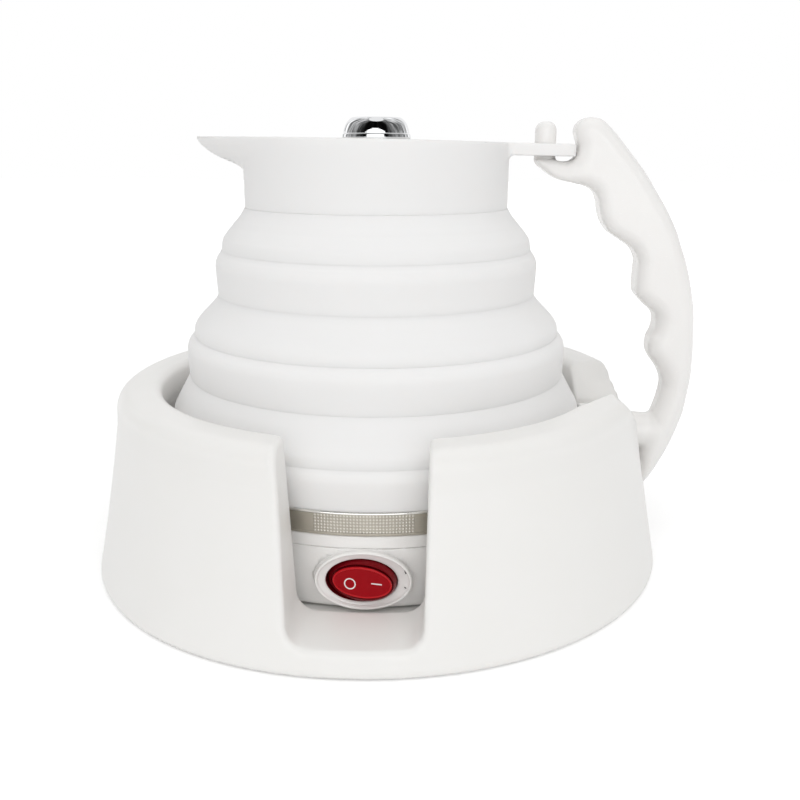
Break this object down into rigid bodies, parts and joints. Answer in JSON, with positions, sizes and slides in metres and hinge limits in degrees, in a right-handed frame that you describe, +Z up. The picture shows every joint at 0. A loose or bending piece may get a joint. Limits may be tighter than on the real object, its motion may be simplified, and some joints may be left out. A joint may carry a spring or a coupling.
{
  "type": "collapsible electric kettle",
  "caption": "Folding silicone kettle with a pouring lip, round lid with a chrome knob, hooked handle and oval rocker switch, standing in a flared ring cradle.",
  "frame": {"origin": "middle of the underside of the cradle, on the table", "axes": "+Z up, the switch faces -Y, the pouring lip points to -X and the handle stands at +X"},
  "size_m": [0.2105, 0.1986, 0.1504],
  "materials": {
    "shell": "satin",
    "silicone": "matte",
    "steel": "brushed",
    "chrome": "mirror",
    "aluminium": "cast",
    "brass": "plain",
    "red": "glossy",
    "nylon": "satin",
    "black": "satin",
    "lead": "matte"
  },
  "bodies": {
    "cradle": {"cradle_shell": "shell", "cradle_base_plate": "shell", "cradle_screw_1": "steel", "cradle_screw_2": "steel", "cradle_screw_3": "steel", "cradle_screw_4": "steel"},
    "kettle_base": {"base_housing": "shell", "base_collar": "shell", "base_cover": "shell", "base_screw_1": "steel", "base_screw_2": "steel", "base_screw_3": "steel", "base_screw_4": "steel", "base_foot_1": "silicone", "base_foot_2": "silicone", "base_foot_3": "silicone", "base_foot_4": "silicone", "pan": "steel", "clamp_hoop": "steel", "heat_spreader": "aluminium", "heating_element": "steel", "thermostat": "black", "thermostat_strap": "steel", "strap_screw_1": "steel", "strap_screw_2": "steel", "thermal_fuse": "nylon", "power_inlet": "black", "inlet_pin_1": "brass", "inlet_pin_2": "brass", "switch_housing": "shell", "switch_tag_1": "brass", "switch_tag_2": "brass", "lead_live": "lead", "lead_neutral": "lead", "lead_heater": "lead", "bellows_foot": "silicone", "lower_fold": "silicone"},
    "rocker": {"switch_rocker": "red"},
    "handle_arm": {"handle": "shell", "friction_washer": "nylon", "retaining_clip": "steel"},
    "lower_stage": {"lower_band": "silicone", "middle_fold": "silicone"},
    "upper_stage": {"upper_band": "silicone", "upper_fold": "silicone"},
    "neck_stage": {"neck": "silicone", "rim_tab": "silicone"},
    "lid": {"lid_cap": "shell", "lid_seal": "silicone", "lid_knob": "chrome", "knob_washer": "steel", "knob_screw": "steel"}
  },
  "joints": [
    {"name": "kettle_lift", "type": "slide", "parent": "cradle", "child": "kettle_base", "axis": [0, 0, 1], "range_m": [0, 0.11]},
    {"name": "switch_rock", "type": "hinge", "parent": "kettle_base", "child": "rocker", "pos_m": [0, -0.06975, 0.0162], "axis": [0, 0, 1], "range_deg": [0, 20]},
    {"name": "handle_swing", "type": "hinge", "parent": "kettle_base", "child": "handle_arm", "pos_m": [0.09, 0, 0.043], "axis": [-1, 0, 0], "range_deg": [0, 92]},
    {"name": "fold_lower", "type": "slide", "parent": "kettle_base", "child": "lower_stage", "axis": [0, 0, -1], "range_m": [0, 0.028], "deforming": ["lower_fold"]},
    {"name": "fold_middle", "type": "slide", "parent": "lower_stage", "child": "upper_stage", "axis": [0, 0, -1], "range_m": [0, 0.0267], "deforming": ["middle_fold"]},
    {"name": "fold_upper", "type": "slide", "parent": "upper_stage", "child": "neck_stage", "axis": [0, 0, -1], "range_m": [0, 0.027], "deforming": ["upper_fold", "rim_tab"]},
    {"name": "lid_lift", "type": "slide", "parent": "neck_stage", "child": "lid", "axis": [0, 0, 1], "range_m": [0, 0.045]}
  ],
  "couplings": [
    {"joint": "fold_middle", "follows": "fold_lower", "ratio": 0.95},
    {"joint": "fold_upper", "follows": "fold_lower", "ratio": 0.96}
  ]
}
